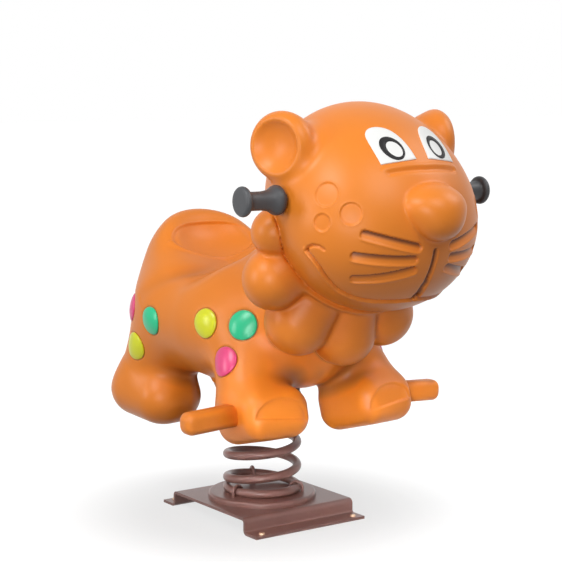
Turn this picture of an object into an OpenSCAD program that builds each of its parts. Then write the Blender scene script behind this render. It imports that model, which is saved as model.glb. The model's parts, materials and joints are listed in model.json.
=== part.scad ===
// Spring rider: a hollow moulded lion on one coil spring over a folded steel base plate.
// Millimetres. The animal faces -Y, its left side is +X, Z is up, and the origin lies on the
// ground below the spring's axis.

/* [Base plate] */
// Length of the folded plate along X
base_length = 240; // [190:5:300]
// Length of its raised flat along Y
base_top = 240; // [224:4:300]
// Height of the raised flat's upper face
base_height = 30; // [26:1:45]
// Sheet thickness
base_sheet = 5; // [3:0.5:6]
// Width of each ground flange beyond the web
base_flange = 36; // [28:1:60]
// Outside radius of the bends
base_bend = 9; // [7:0.5:12]
// Diameter of the ground anchor holes
anchor_hole = 11; // [8:0.5:14]
// Anchor hole centre from the end of the plate
anchor_inset = 19; // [12:1:30]
// Anchor hole centre from the outer edge of the flange
anchor_edge = 11; // [9:0.5:16]

/* [Spring] */
// Outside diameter of the coil
coil_diameter = 146; // [130:1:160]
// Diameter of the spring wire
wire_diameter = 16; // [12:0.5:18]
// Rise of the open turns, per turn
coil_pitch = 44; // [40:1:60]
// Height of the spring between its two seats
coil_height = 206; // [180:2:260]
// Diameter of the round lower seat
seat_diameter = 200; // [186:2:220]
// Height of the lower seat
seat_height = 10; // [7:0.5:14]
// Rounding of the seat's upper edge
seat_round = 5; // [2:0.5:6]
// Thickness of the upper plate
top_plate = 6; // [4:0.5:10]
// Opening in the middle of the upper plate and of the boss above it
plate_opening = 40; // [24:2:44]

/* [Fasteners] */
// Rod diameter of the spring clips
clip_rod = 6; // [5:0.5:8]
// Nut of the clips, across its flats
clip_nut_flats = 10; // [9:0.5:13]
// Height of the clip nuts
clip_nut_height = 5; // [4:0.5:7]
// Thread diameter of the bolts below the body and in the neck
bolt_diameter = 10; // [8:0.5:12]
// Bolt head, across its flats
bolt_flats = 16; // [13:0.5:19]
// Height of a bolt head
bolt_head = 6.4; // [5:0.2:8]
// Outside diameter of the flat washers
washer_diameter = 20; // [17:0.5:24]
// Thickness of the flat washers
washer_thickness = 2; // [1.5:0.5:3]
// Outside diameter of the threaded inserts
insert_diameter = 14; // [12.5:0.5:18]
// Length of the threaded inserts
insert_length = 18; // [12:1:22]

/* [Body] */
// Reference width of the body, which the forms' X values follow
body_width = 300; // [270:5:340]
// Reference length of the body, which the forms' Y values follow
body_length = 500; // [470:5:560]
// Reference height of the body, which the forms' Z values follow
body_height = 300; // [280:5:340]
// Wall of the two mouldings
wall = 7; // [5:0.5:9]
// Height of the mounting boss under the belly
boss_height = 36; // [30:1:50]

/* [Head] */
// Reference size of the head, which the forms of the head and mane follow
head_size = 320; // [300:5:340]

/* [Handles] */
// Diameter of the handlebar tube
bar_diameter = 25; // [20:0.5:28]
// Wall of the handlebar tube
bar_wall = 2.5; // [1.5:0.5:4]
// Span over the outer ends of the two grips
grip_span = 512; // [480:4:600]
// Outside diameter of a grip's shaft
grip_diameter = 31; // [30:0.5:36]
// Diameter of the grip's flanges
flange_diameter = 49; // [42:1:60]
// Thickness of the inner flange
inner_flange = 7; // [5:0.5:10]
// Thickness of the outer flange with its end wall
outer_flange = 12; // [9:0.5:16]
// Rounding of the flanges
flange_round = 2.5; // [1:0.5:3]

/* [Foot pegs] */
// Thickness of a foot peg, both ways
peg_size = 38; // [32:1:44]
// Rounding along the peg
peg_round = 13; // [8:0.5:15]
// Length of a peg beyond the foot
peg_length = 98; // [90:2:116]
// Depth of the peg's root in its socket
peg_socket = 12; // [8:1:16]
// Diameter of the stud inside the peg
peg_stud = 12; // [10:0.5:14]
// Length of the stud
peg_stud_length = 84; // [60:2:90]

/* [Spots and eyes] */
// Diameter of a coloured spot
spot_diameter = 52; // [40:1:56]
// Thickness of a spot
spot_thickness = 3; // [2:0.5:5]
// Thickness of the eye panels and of the rings on them
eye_thickness = 1.2; // [0.8:0.1:2]

/* [Hidden] */

// Cuts run past the faces that they open by this much
overrun = 1;
// Clearance of a shaft in its hole, on the radius
fit_gap = 0.3;
// Clearance of a thread in its nut, on the radius
thread_gap = 0.1;
// Clearance of the spring's wire in its seats and clips
wire_gap = 0.4;
// Facets of a round cut in a moulding, and of small round cuts
round_sides = 40;
small_sides = 20;

// Heights from the ground up
seat_z = base_height + seat_height;
coil_top_z = seat_z + coil_height;
belly_z = coil_top_z + top_plate;

// The coil: a part of a turn lies flat at each end, and the turns between rise at the pitch
coil_radius = (coil_diameter - wire_diameter) / 2;
coil_start = 145;
flat_share = 0.6;
ease_share = 0.06;
wire_sides = 6;
loop_rings = 24;
wire_half = wire_diameter / 2 * cos(180 / wire_sides) + wire_gap;
coil_rise = coil_height - 2 * wire_half;
coil_turns = coil_rise / coil_pitch + 2 * flat_share;

// Clips: rod bows over the wire, with both legs through the seat that they hold it on
clip_shares = [0.13, 0.463, 0.797];
clip_bow = wire_diameter / 2 + clip_rod / 2 + wire_gap;
clip_tail = clip_rod / 2;
clip_hole = clip_rod + 2 * fit_gap;
pocket_radius = clip_nut_flats / sqrt(3) + 2 * fit_gap;
pocket_depth = clip_nut_height + clip_tail + fit_gap;

// Bolts through the upper plate stand inside the coil, clear of the clips' nut pockets
bolt_margin = 1.5;
bolt_circle = coil_radius - clip_bow - pocket_radius - insert_diameter / 2 - bolt_margin;
bolt_count = 4;
plate_radius = coil_radius + clip_bow + pocket_radius + 2 * bolt_margin;
bolt_hole = bolt_diameter + 2 * fit_gap;

// The upper plate lies in a recess under the belly, with the moulding's wall round it
boss_radius = plate_radius + wall;
plate_recess_share = 0.125;
plate_recess = plate_recess_share * coil_height;

// Where a form lies: shares of the body's width, length and height, from the belly up
function place(s) = [s.x * body_width, s.y * body_length, belly_z + s.z * body_height];
function extent(s) = [s.x * body_width, s.y * body_length, s.z * body_height];

// Forms of the body, for the near side; the far side mirrors them
rump_shares = [[0, 0.33, 0.523], [0.46, 0.25, 0.439]];
hump_shares = [[0, 0.391, 0.673], [0.361, 0.154, 0.36]];
chest_shares = [[0, -0.209, 0.42], [0.323, 0.26, 0.427]];
shoulder_shares = [[0, -0.28, 0.577], [0.378, 0.23, 0.407]];
barrel_shares = [[0, 0.097, 0.368], [0.584, 0.282, 0.401]];
flank_shares = [[0, -0.05, 0.411], [0.533, 0.17, 0.38]];
dish_shares = [[0, 0.282, 0.843], [0.267, 0.116, 0.107]];
dish_tilt = 31;
saddle_shares = [0, 0.108, 1.003];
saddle_radius_share = 0.373;
ramp_shares = [[0, 0.104, 1.227], [0.633, 0.356, 0.533]];
front_leg_shares = [[-0.291, -0.156, 0.377], [-0.427, -0.288, 0.01]];
front_leg_radius_shares = [0.197, 0.184];
rear_leg_shares = [[-0.305, 0.278, 0.393], [-0.381, 0.407, 0.01]];
rear_leg_radius_shares = [0.268, 0.191];
// A foot: centre, half sizes, corner and edge rounding, sole and instep heights; then its turn about
// the vertical, and its tilt, by which the front toes rise and the rear ones sink
front_foot_shares = [[-0.374, -0.328], [0.207, 0.148], 0.108, 0.114, [-0.247, 0.039]];
front_foot_turn = -6.6;
front_foot_tilt = -15.6;
rear_foot_shares = [[-0.37, 0.392], [0.227, 0.179], 0.198, 0.173, [-0.319, 0.022]];
rear_foot_turn = 10;
rear_foot_tilt = 7.4;
// How far neighbouring forms run into each other
wide_blend_share = 0.2;
back_blend_share = 0.133;
foot_blend_share = 0.1;
saddle_blend_share = 0.12;
dish_blend_share = 0.05;

// Forms of the head, as shares of its size from its centre
head_shares = [0, -0.6, 1.213];
head_centre = place(head_shares);
cranium_shares = [[0, 0.05, -0.004], [0.495, 0.458, 0.456]];
muzzle_shares = [[0, -0.144, -0.177], [0.529, 0.443, 0.447]];
nose_shares = [[0, -0.505, -0.061], [0.188, 0.203, 0.125]];
nose_tip_shares = [[0, -0.597, -0.159], [0.072, 0.072, 0.072]];
neck_shares = [[0, 0.3, -0.47], [0, 0.094, -0.3]];
neck_radius_shares = [0.3, 0.36];
// Lobes of the mane, from under the chin up to the ear: centre and radius
lobe_shares = [[[0, 0.175, -0.781], 0.175], [[-0.275, 0.2, -0.697], 0.181],
    [[-0.469, 0.156, -0.456], 0.1625], [[-0.475, 0.119, -0.2125], 0.131]];
ear_shares = [[-0.509, 0.034, 0.23], [0.082, 0.18, 0.173]];
ear_turn = 18.6;
ear_stem_shares = [[-0.344, 0.025, 0.1625], [-0.444, 0.033, 0.23]];
ear_stem_radius_shares = [0.15, 0.144];
ear_dish_shares = [[-0.603, 0.003, 0.231], [0.094, 0.163, 0.153]];
head_blend_share = 0.205;
nose_blend_share = 0.131;
ear_blend_share = 0.06;
lobe_blend_share = 0.03;
mane_blend_share = 0.09;
collar_blend_share = 0.11;
neck_blend_share = 0.12;

// Cells of the grids on which the skins are found
body_cell_share = 0.092;
body_hollow_cell_share = 0.135;
head_cell_share = 0.064;
head_hollow_cell_share = 0.09;
ear_cell_share = 0.036;

// The handlebar crosses the head
bar_shares = [0, -0.028, -0.034];
bar_place = head_centre + head_size * bar_shares;
bar_end = grip_span / 2 - outer_flange / 2;
grip_gap_share = 0.003;

// The neck joint: its axis runs from the shoulders to the head, and bolts stand round it
neck_foot = place(shoulder_shares[0]);
neck_axis = (head_centre - neck_foot) / norm(head_centre - neck_foot);
neck_pad_radius = 56;
body_pad_depth = 26;
head_pad_depth = 17;
neck_bolt_circle = 37;
neck_bolt_tail = 3;
neck_opening = 30;
bolt_nut_height = 8;

// Pegs stand on the outer sides of the front feet
peg_shares = [0, -0.336, -0.07];
peg_droop = 3;
peg_place = place(peg_shares);
peg_end_radius = 30;
peg_boss_radius = 33;
peg_boss_depth = 62;
peg_bore = peg_stud / 2 + thread_gap;

// Spots: places on the near side as shares of the body's length and height
yellow_shares = [[-0.13, 0.41], [0.34, 0.173]];
green_shares = [[-0.274, 0.42], [0.2, 0.36]];
pink_shares = [[-0.25, 0.213], [0.388, 0.408]];
spot_depth_share = 0.8;

// Eyes, as shares of the head's size in the plane of the forehead: the middle, then outlines as
// points outwards and upwards from it, a ring's two ovals as half sizes with their tilt, and its shift
eye_shares = [0.134, -0.4125, 0.219];
eye_lean = 53;
eye_outline_shares = [[0.097, -0.065], [0.101, 0.03], [0.096, 0.105], [0.086, 0.143], [0.05, 0.174],
    [-0.002, 0.167], [-0.046, 0.132], [-0.07, 0.074], [-0.086, 0.012], [-0.095, -0.068], [-0.021, -0.072],
    [0.043, -0.069]];
eye_rows_shares = [1, 0.66, 0.33];
iris_shares = [0.056, 0.077];
iris_shift_shares = [0.006, 0.013];
pupil_shares = [0.037, 0.051];
pupil_shift_shares = [-0.002, 0.005];
iris_tilt = 11;
iris_points = 28;
// Clearance of the eye panels on the head and of the rings on the panels
eye_gap = 0.5;

// Distance forms
function clamp(t) = min(max(t, 0), 1);
function blend(a, b, k) = let (h = max(k - abs(a - b), 0) / k) min(a, b) - h * h * k / 4;
function carve(a, b, k) = -blend(-a, b, k);
function folded(p) = [-abs(p.x), p.y, p.z];
function turned(v, a) = [v.x * cos(a) + v.y * sin(a), v.y * cos(a) - v.x * sin(a), v.z];
function tilted(v, a) = [v.x, v.y * cos(a) + v.z * sin(a), v.z * cos(a) - v.y * sin(a)];
function oval(v, r) =
    let (q = [v.x / r.x, v.y / r.y, v.z / r.z], k = norm(q))
    k * (k - 1) / max(norm([q.x / r.x, q.y / r.y, q.z / r.z]), 1e-9);
function limb(p, a, b, ra, rb) =
    let (t = clamp((p - a) * (b - a) / ((b - a) * (b - a))))
    norm(p - a - t * (b - a)) - ra - (rb - ra) * t;
function rounded(u, v) = norm([max(u, 0), max(v, 0)]) + min(max(u, v), 0);
function foot(p, s, turn, tilt) =
    let (
        low = belly_z + s[4][0] * body_height,
        high = belly_z + s[4][1] * body_height,
        middle = [s[0].x * body_width, s[0].y * body_length, (low + high) / 2],
        v = tilted(turned(p - middle, turn), tilt),
        corner = s[2] * body_width,
        edge = s[3] * body_width,
        plan = rounded(abs(v.x) - s[1].x * body_width + corner, abs(v.y) - s[1].y * body_length + corner)
    )
    rounded(plan - corner + edge, abs(v.z) - (high - low) / 2 + edge) - edge;

function body_oval(p, s) = oval(p - place(s[0]), extent(s[1]));
function body_limb(p, s, r) = limb(p, place(s[0]), place(s[1]), r[0] * body_width, r[1] * body_width);
function body_field(p) =
    let (
        q = folded(p),
        wide = wide_blend_share * body_width,
        narrow = foot_blend_share * body_width,
        near = back_blend_share * body_width,
        saddle = place(saddle_shares),
        rear = blend(body_oval(p, rump_shares), body_oval(p, hump_shares), near),
        front = blend(body_oval(p, chest_shares), body_oval(p, shoulder_shares), near),
        middle = blend(blend(rear, front, wide), body_oval(p, barrel_shares), wide),
        trunk = blend(middle, body_oval(p, flank_shares), wide),
        scoop = norm([p.y - saddle.y, p.z - saddle.z]) - saddle_radius_share * body_height,
        ramp = body_oval(p, ramp_shares),
        hollow = blend(scoop, ramp, saddle_blend_share * body_height),
        back = carve(trunk, hollow, saddle_blend_share * body_height),
        front_leg = body_limb(q, front_leg_shares, front_leg_radius_shares),
        rear_leg = body_limb(q, rear_leg_shares, rear_leg_radius_shares),
        legs = blend(blend(back, front_leg, wide), rear_leg, wide),
        front_foot = foot(q, front_foot_shares, front_foot_turn, front_foot_tilt),
        rear_foot = foot(q, rear_foot_shares, rear_foot_turn, rear_foot_tilt),
        shod = blend(blend(legs, front_foot, narrow), rear_foot, narrow),
        dish = oval(tilted(p - place(dish_shares[0]), dish_tilt), extent(dish_shares[1]))
    )
    carve(shod, dish, dish_blend_share * body_height);

function head_oval(v, s) = oval(v - head_size * s[0], head_size * s[1]);
function head_limb(v, s, r) =
    limb(v, head_size * s[0], head_size * s[1], head_size * r[0], head_size * r[1]);
function lobes(v, n) =
    let (d = norm(v - head_size * lobe_shares[n][0]) - head_size * lobe_shares[n][1])
    n == 0 ? d : blend(d, lobes(v, n - 1), mane_blend_share * head_size);
function skull_field(p) =
    let (v = p - head_centre)
    blend(head_oval(v, cranium_shares), head_oval(v, muzzle_shares), head_blend_share * head_size);
function head_field(p) =
    let (
        v = p - head_centre,
        q = folded(v),
        nose = blend(head_oval(v, nose_shares), head_oval(v, nose_tip_shares), nose_blend_share * head_size),
        face = blend(skull_field(p), nose, lobe_blend_share * head_size),
        neck = head_limb(v, neck_shares, neck_radius_shares),
        collar = blend(lobes(q, len(lobe_shares) - 1), neck, neck_blend_share * head_size)
    )
    blend(face, collar, collar_blend_share * head_size);
function ear_field(p) =
    let (
        q = folded(p - head_centre),
        rim = oval(turned(q - head_size * ear_shares[0], ear_turn), head_size * ear_shares[1]),
        stem = head_limb(q, ear_stem_shares, ear_stem_radius_shares),
        cup = oval(turned(q - head_size * ear_dish_shares[0], ear_turn), head_size * ear_dish_shares[1])
    )
    carve(blend(rim, stem, ear_blend_share * head_size), cup, lobe_blend_share * head_size);

function field(kind, p) =
    kind == "body" ? body_field(p)
    : kind == "head" ? head_field(p)
    : kind == "skull" ? skull_field(p)
    : ear_field(p);
function slope(kind, p, e) =
    [for (a = [[e, 0, 0], [0, e, 0], [0, 0, e]]) (field(kind, p + a) - field(kind, p - a)) / (2 * e)];

// The closed skin where a form's distance equals grow: one point for each grid cell that the skin
// crosses, at the mean of the crossings of the cell's edges, and two triangles for each grid edge
// that it crosses
module skin(kind, low, high, cell, grow) {
    n = [for (i = [0:2]) ceil((high[i] - low[i]) / cell)];
    row = n.x + 1;
    layer = row * (n.y + 1);
    values = [for (k = [0:n.z]) for (j = [0:n.y]) for (i = [0:n.x])
        field(kind, low + cell * [i, j, k]) - grow];
    steps = [0, 1, row, row + 1, layer, layer + 1, layer + row, layer + row + 1];
    pairs = [[0, 1], [2, 3], [4, 5], [6, 7], [0, 2], [1, 3], [4, 6], [5, 7], [0, 4], [1, 5], [2, 6], [3, 7]];
    function corner(c) = [c % 2, floor(c / 2) % 2, floor(c / 4)];
    function at(i, j, k) = i + row * j + layer * k;
    function crossed(m) =
        let (inside = [for (s = steps) if (values[m + s] < 0) 1]) len(inside) > 0 && len(inside) < 8;
    function middle(m, base) =
        let (hits = [for (e = pairs) let (a = values[m + steps[e[0]]], b = values[m + steps[e[1]]])
            if ((a < 0) != (b < 0)) corner(e[0]) + (corner(e[1]) - corner(e[0])) * a / (a - b)])
        base + cell * total(hits) / len(hits);
    function total(v) = [for (i = [0:2]) [for (h = v) h[i]] * [for (h = v) 1]];
    function settled(p) =
        let (g = slope(kind, p, cell / 50)) p - (field(kind, p) - grow) * g / max(g * g, 0.25);
    marks = [for (k = [0:n.z]) for (j = [0:n.y]) for (i = [0:n.x])
        i < n.x && j < n.y && k < n.z && crossed(at(i, j, k))];
    order = [for (m = 0, c = 0; m < len(marks); c = c + (marks[m] ? 1 : 0), m = m + 1) c];
    points = [for (k = [0:n.z - 1]) for (j = [0:n.y - 1]) for (i = [0:n.x - 1])
        if (marks[at(i, j, k)]) settled(middle(at(i, j, k), low + cell * [i, j, k]))];
    function patch(a, b, c, d, out) = out ? [[a, c, b], [a, d, c]] : [[a, b, c], [a, c, d]];
    faces = [for (k = [1:n.z - 1]) for (j = [1:n.y - 1]) for (i = [1:n.x - 1])
        let (m = at(i, j, k), v = values[m])
        for (e = [[1, row, layer], [row, layer, 1], [layer, 1, row]])
        let (w = values[m + e[0]])
        if ((v < 0) != (w < 0))
        each patch(order[m - e[1] - e[2]], order[m - e[2]], order[m], order[m - e[1]], v < 0)];
    polyhedron(points, faces, convexity = 6);
}

// Grid boxes, one cell or more outside every form
body_low_shares = [-0.8, -0.66, -0.54];
body_high_shares = [0.8, 0.72, 1.2];
head_low_shares = [-0.76, -0.82, -1.08];
head_high_shares = [0.76, 0.86, 0.56];
ear_low_shares = [-0.7, -0.2, -0.08];
ear_high_shares = [-0.1, 0.32, 0.5];

module body_skin(grow = 0, cell_share = body_cell_share) {
    skin("body", place(body_low_shares), place(body_high_shares), cell_share * body_width, grow);
}

module head_skin(grow = 0, kind = "head", cell_share = head_cell_share) {
    low = head_centre + head_size * head_low_shares;
    skin(kind, low, head_centre + head_size * head_high_shares, cell_share * head_size, grow);
}

module ear_skin() {
    low = head_centre + head_size * ear_low_shares;
    skin("ear", low, head_centre + head_size * ear_high_shares, ear_cell_share * head_size, 0);
}

// A moulding's walls, openings and sockets are cut as one mesh, at its own size
module moulded() {
    resize([0, 0, 0]) children();
}

module both_sides() {
    children();
    mirror([1, 0, 0]) children();
}

// Puts what follows at a point, with its Z along a direction
module along(point, direction) {
    lean = acos(direction.z / norm(direction));
    translate(point) rotate([0, lean, atan2(direction.y, direction.x)]) children();
}

module ring_of(count, radius, first = 0) {
    for (i = [0:count - 1]) rotate(first + i * 360 / count) translate([radius, 0, 0]) children();
}

// Base plate: two bends on each side, from the raised flat down to the ground flange
module bend(quarter) {
    intersection() {
        difference() {
            circle(base_bend);
            circle(base_bend - base_sheet);
        }
        rotate(quarter) square(base_bend + overrun);
    }
}

module hat_half() {
    web = base_top / 2;
    inner_bend = base_bend - base_sheet;
    translate([0, base_height - base_sheet]) square([web - base_bend, base_sheet]);
    translate([web - base_bend, base_height - base_bend]) bend(0);
    translate([web - base_sheet, base_bend]) square([base_sheet, base_height - 2 * base_bend]);
    translate([web + inner_bend, base_bend]) bend(180);
    translate([web + inner_bend, 0]) square([base_flange - inner_bend, base_sheet]);
}

module base_plate() {
    anchor_x = base_length / 2 - anchor_inset;
    anchor_y = base_top / 2 + base_flange - anchor_edge;
    color("#6f4a42")
    difference() {
        rotate([90, 0, 90]) linear_extrude(base_length, center = true) {
            hat_half();
            mirror([1, 0]) hat_half();
        }
        for (x = [-anchor_x, anchor_x], y = [-anchor_y, anchor_y])
            translate([x, y, -overrun]) cylinder(d = anchor_hole, h = base_sheet + 2 * overrun);
        lower_clip_holes(base_height - base_sheet, base_sheet);
    }
}

module spring_seat() {
    radius = seat_diameter / 2;
    color("#7a5048")
    difference() {
        translate([0, 0, base_height]) rotate_extrude() {
            square([radius - seat_round, seat_height]);
            square([radius, seat_height - seat_round]);
            translate([radius - seat_round, seat_height - seat_round]) circle(seat_round);
        }
        lower_clip_holes(base_height, seat_height);
    }
}

// The coil's centre line, t in turns from its lower end
function eased(u) =
    u < -ease_share ? 0 : u > ease_share ? u : (u + ease_share) * (u + ease_share) / (4 * ease_share);
function coil_z(t) =
    seat_z + wire_half + coil_pitch * (eased(t - flat_share) - eased(t - coil_turns + flat_share));
function coil_angle(t) = coil_start + 360 * t;
function coil_point(t) =
    [coil_radius * cos(coil_angle(t)), coil_radius * sin(coil_angle(t)), coil_z(t)];
coil_steps = round(coil_turns * loop_rings);
coil_line = [for (i = [0:coil_steps]) coil_point(coil_turns * i / coil_steps)];

// Least gap between one turn of the wire and another, on the points of the centre line
function coil_gaps() = [for (i = [0:coil_steps]) for (j = [i + loop_rings / 2:coil_steps])
    norm(coil_line[i] - coil_line[j]) - wire_diameter];
echo(least_coil_gap = min(coil_gaps()));  // spring

function wire_ring(i) =
    let (
        a = coil_angle(coil_turns * i / coil_steps),
        ahead = coil_line[min(i + 1, coil_steps)] - coil_line[max(i - 1, 0)],
        out = [cos(a), sin(a), 0],
        rise = cross(out, ahead) / norm(cross(out, ahead))
    )
    [for (s = [0:wire_sides - 1]) coil_line[i]
        + wire_diameter / 2 * (cos(360 * s / wire_sides) * out - sin(360 * s / wire_sides) * rise)];

module spring() {
    points = [for (i = [0:coil_steps]) each wire_ring(i)];
    last = coil_steps * wire_sides;
    sides = [for (i = [0:coil_steps - 1]) for (s = [0:wire_sides - 1])
        let (a = i * wire_sides + s, b = i * wire_sides + (s + 1) % wire_sides)
        each [[a, b, b + wire_sides], [a, b + wire_sides, a + wire_sides]]];
    ends = [for (s = [1:wire_sides - 2]) each [[0, s + 1, s], [last, last + s, last + s + 1]]];
    color("#6f4a42") polyhedron(points, concat(sides, ends), convexity = 10);
}

// Clips: where they stand along the coil, and a bow with two legs of a given length
function lower_clip(i) = clip_shares[i];
function upper_clip(i) = coil_turns - clip_shares[i];

module at_clip(t) {
    rotate(coil_angle(t)) translate([coil_radius, 0, 0]) children();
}

module lower_clip_holes(bottom, depth) {
    for (i = [0:2], side = [-1, 1]) at_clip(lower_clip(i))
        translate([side * clip_bow, 0, bottom - overrun]) cylinder(d = clip_hole, h = depth + 2 * overrun);
}

module clip(leg) {
    rotate([90, 0, 0]) rotate_extrude(angle = 180) translate([clip_bow, 0]) circle(d = clip_rod);
    for (side = [-1, 1]) translate([side * clip_bow, 0, -leg]) cylinder(d = clip_rod, h = leg);
}

module lower_clips() {
    bottom = base_height - base_sheet - clip_nut_height - clip_tail;
    color("#7d5a50")
    for (i = [0:2]) at_clip(lower_clip(i))
        translate([0, 0, coil_z(lower_clip(i))]) clip(coil_z(lower_clip(i)) - bottom);
}

module upper_clips() {
    top = belly_z + clip_nut_height + clip_tail;
    color("#7d5a50")
    for (i = [0:2]) at_clip(upper_clip(i))
        translate([0, 0, coil_z(upper_clip(i))]) rotate([180, 0, 0]) clip(top - coil_z(upper_clip(i)));
}

module nut(flats, height, thread) {
    difference() {
        cylinder(d = flats * 2 / sqrt(3), h = height, $fn = 6);
        translate([0, 0, -overrun]) cylinder(d = thread + 2 * thread_gap, h = height + 2 * overrun);
    }
}

module lower_clip_nuts() {
    color("silver")
    for (i = [0:2], side = [-1, 1]) at_clip(lower_clip(i))
        translate([side * clip_bow, 0, base_height - base_sheet - clip_nut_height])
        nut(clip_nut_flats, clip_nut_height, clip_rod);
}

module upper_clip_nuts() {
    color("silver")
    for (i = [0:2], side = [-1, 1]) at_clip(upper_clip(i))
        translate([side * clip_bow, 0, belly_z]) nut(clip_nut_flats, clip_nut_height, clip_rod);
}

// Upper plate with its bolts, washers and inserts
module top_plate() {
    color("#6f4a42")
    translate([0, 0, coil_top_z])
    difference() {
        cylinder(r = plate_radius, h = top_plate);
        translate([0, 0, -overrun]) cylinder(d = plate_opening, h = top_plate + 2 * overrun);
        ring_of(bolt_count, bolt_circle)
            translate([0, 0, -overrun]) cylinder(d = bolt_hole, h = top_plate + 2 * overrun);
        for (i = [0:2], side = [-1, 1]) at_clip(upper_clip(i))
            translate([side * clip_bow, 0, -overrun]) cylinder(d = clip_hole, h = top_plate + 2 * overrun);
    }
}

module washer() {
    difference() {
        cylinder(d = washer_diameter, h = washer_thickness);
        translate([0, 0, -overrun]) cylinder(d = bolt_hole, h = washer_thickness + 2 * overrun);
    }
}

// A bolt with its head's bearing face at zero and its shank upwards
module bolt(shank) {
    translate([0, 0, -bolt_head]) cylinder(d = bolt_flats * 2 / sqrt(3), h = bolt_head, $fn = 6);
    cylinder(d = bolt_diameter, h = shank);
}

module body_bolts() {
    color("silver")
    ring_of(bolt_count, bolt_circle) translate([0, 0, coil_top_z - washer_thickness])
        bolt(washer_thickness + top_plate + insert_length - bolt_head / 2);
}

module body_washers() {
    color("gainsboro")
    ring_of(bolt_count, bolt_circle) translate([0, 0, coil_top_z - washer_thickness]) washer();
}

module body_inserts() {
    color("goldenrod")
    ring_of(bolt_count, bolt_circle) translate([0, 0, belly_z]) difference() {
        cylinder(d = insert_diameter, h = insert_length);
        translate([0, 0, -overrun])
            cylinder(d = bolt_diameter + 2 * thread_gap, h = insert_length + 2 * overrun);
    }
}

// Neck joint: four bolts from inside the body through both mouldings
function neck_reach(low, high, n) =
    let (t = (low + high) / 2)
    n == 0 ? t
    : body_field(neck_foot + t * neck_axis) < 0 ? neck_reach(t, high, n - 1)
    : neck_reach(low, t, n - 1);
neck_face = neck_reach(0, head_size, 24);
neck_pad_inner = neck_face - body_pad_depth;
neck_pad_outer = neck_face + head_pad_depth;

module at_neck(height) {
    along(neck_foot + height * neck_axis, neck_axis) children();
}

module neck_cuts() {
    at_neck(0) cylinder(d = neck_opening, h = neck_pad_outer + overrun, $fn = round_sides);
    at_neck(0) ring_of(bolt_count, neck_bolt_circle, 45)
        cylinder(d = bolt_hole, h = neck_pad_outer + overrun, $fn = small_sides);
}

module neck_bolts() {
    shank = neck_pad_outer - neck_pad_inner + 2 * washer_thickness + bolt_nut_height + neck_bolt_tail;
    color("silver")
    at_neck(neck_pad_inner - washer_thickness) ring_of(bolt_count, neck_bolt_circle, 45) bolt(shank);
}

module neck_washers() {
    color("gainsboro")
    for (z = [neck_pad_inner - washer_thickness, neck_pad_outer])
        at_neck(z) ring_of(bolt_count, neck_bolt_circle, 45) washer();
}

module neck_nuts() {
    color("silver")
    at_neck(neck_pad_outer + washer_thickness) ring_of(bolt_count, neck_bolt_circle, 45)
        nut(bolt_flats, bolt_nut_height, bolt_diameter);
}

// Section of a peg, grown all round by a clearance
module peg_section(grow) {
    half = peg_size / 2 + grow;
    r = peg_round + grow;
    square([2 * half, 2 * (half - r)], center = true);
    square([2 * (half - r), 2 * half], center = true);
    for (x = [-1, 1], y = [-1, 1]) translate([x * (half - r), y * (half - r)]) circle(r);
}

// The foot's outer face on the peg's axis, found along X
function reach(y, z, low, high, n) =
    let (x = (low + high) / 2)
    n == 0 ? x : body_field([x, y, z]) > 0 ? reach(y, z, x, high, n - 1) : reach(y, z, low, x, n - 1);
foot_face = reach(peg_place.y, peg_place.z, -body_width, -body_width / 4, 24);

// Puts what follows on the peg's axis, at a distance outwards from the foot's face
module peg_axis(distance) {
    translate([foot_face, peg_place.y, peg_place.z]) rotate([0, -90 - peg_droop, 0])
        translate([0, 0, distance]) children();
}

module peg() {
    length = peg_socket + peg_length;
    difference() {
        union() {
            peg_axis(-peg_socket) linear_extrude(length - peg_end_radius) peg_section(0);
            intersection() {
                peg_axis(-peg_socket) linear_extrude(length) peg_section(0);
                peg_axis(peg_length - peg_end_radius) sphere(peg_end_radius);
            }
        }
        peg_axis(-peg_socket - overrun)
            cylinder(r = peg_bore, h = peg_stud_length / 2 + overrun + fit_gap);
    }
}

module peg_right() {
    color("#f08a3c") peg();
}

module peg_left() {
    color("#f08a3c") mirror([1, 0, 0]) peg();
}

module peg_studs() {
    color("silver")
    both_sides() peg_axis(-peg_socket - peg_stud_length / 2) cylinder(d = peg_stud, h = peg_stud_length);
}

module body_shell() {
    color("#f08a3c")
    moulded() difference() {
        union() {
            body_skin();
            translate([0, 0, coil_top_z])
                cylinder(r = boss_radius, h = top_plate + boss_height, $fn = round_sides);
        }
        difference() {
            body_skin(-wall, body_hollow_cell_share);
            translate([0, 0, coil_top_z - plate_recess])
                cylinder(r = boss_radius, h = plate_recess + top_plate + boss_height, $fn = round_sides);
            at_neck(neck_pad_inner) cylinder(r = neck_pad_radius, h = neck_pad_outer, $fn = round_sides);
            both_sides() peg_axis(-peg_boss_depth)
                cylinder(r = peg_boss_radius, h = peg_boss_depth, $fn = small_sides);
        }
        translate([0, 0, coil_top_z - plate_recess])
            cylinder(r = plate_radius + fit_gap, h = plate_recess + top_plate, $fn = round_sides);
        translate([0, 0, belly_z - overrun])
            cylinder(d = plate_opening, h = boss_height + 2 * overrun, $fn = round_sides);
        ring_of(bolt_count, bolt_circle) translate([0, 0, belly_z - overrun])
            cylinder(d = insert_diameter + 2 * fit_gap, h = insert_length + overrun, $fn = small_sides);
        for (i = [0:2], side = [-1, 1]) at_clip(upper_clip(i))
            translate([side * clip_bow, 0, belly_z - overrun])
            cylinder(r = pocket_radius, h = pocket_depth + overrun, $fn = small_sides);
        neck_cuts();
        both_sides() {
            peg_axis(-peg_socket) linear_extrude(body_width) peg_section(fit_gap, $fn = small_sides);
            peg_axis(-peg_boss_depth - overrun)
                cylinder(d = peg_stud + 2 * fit_gap, h = peg_boss_depth, $fn = small_sides);
        }
    }
}

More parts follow.
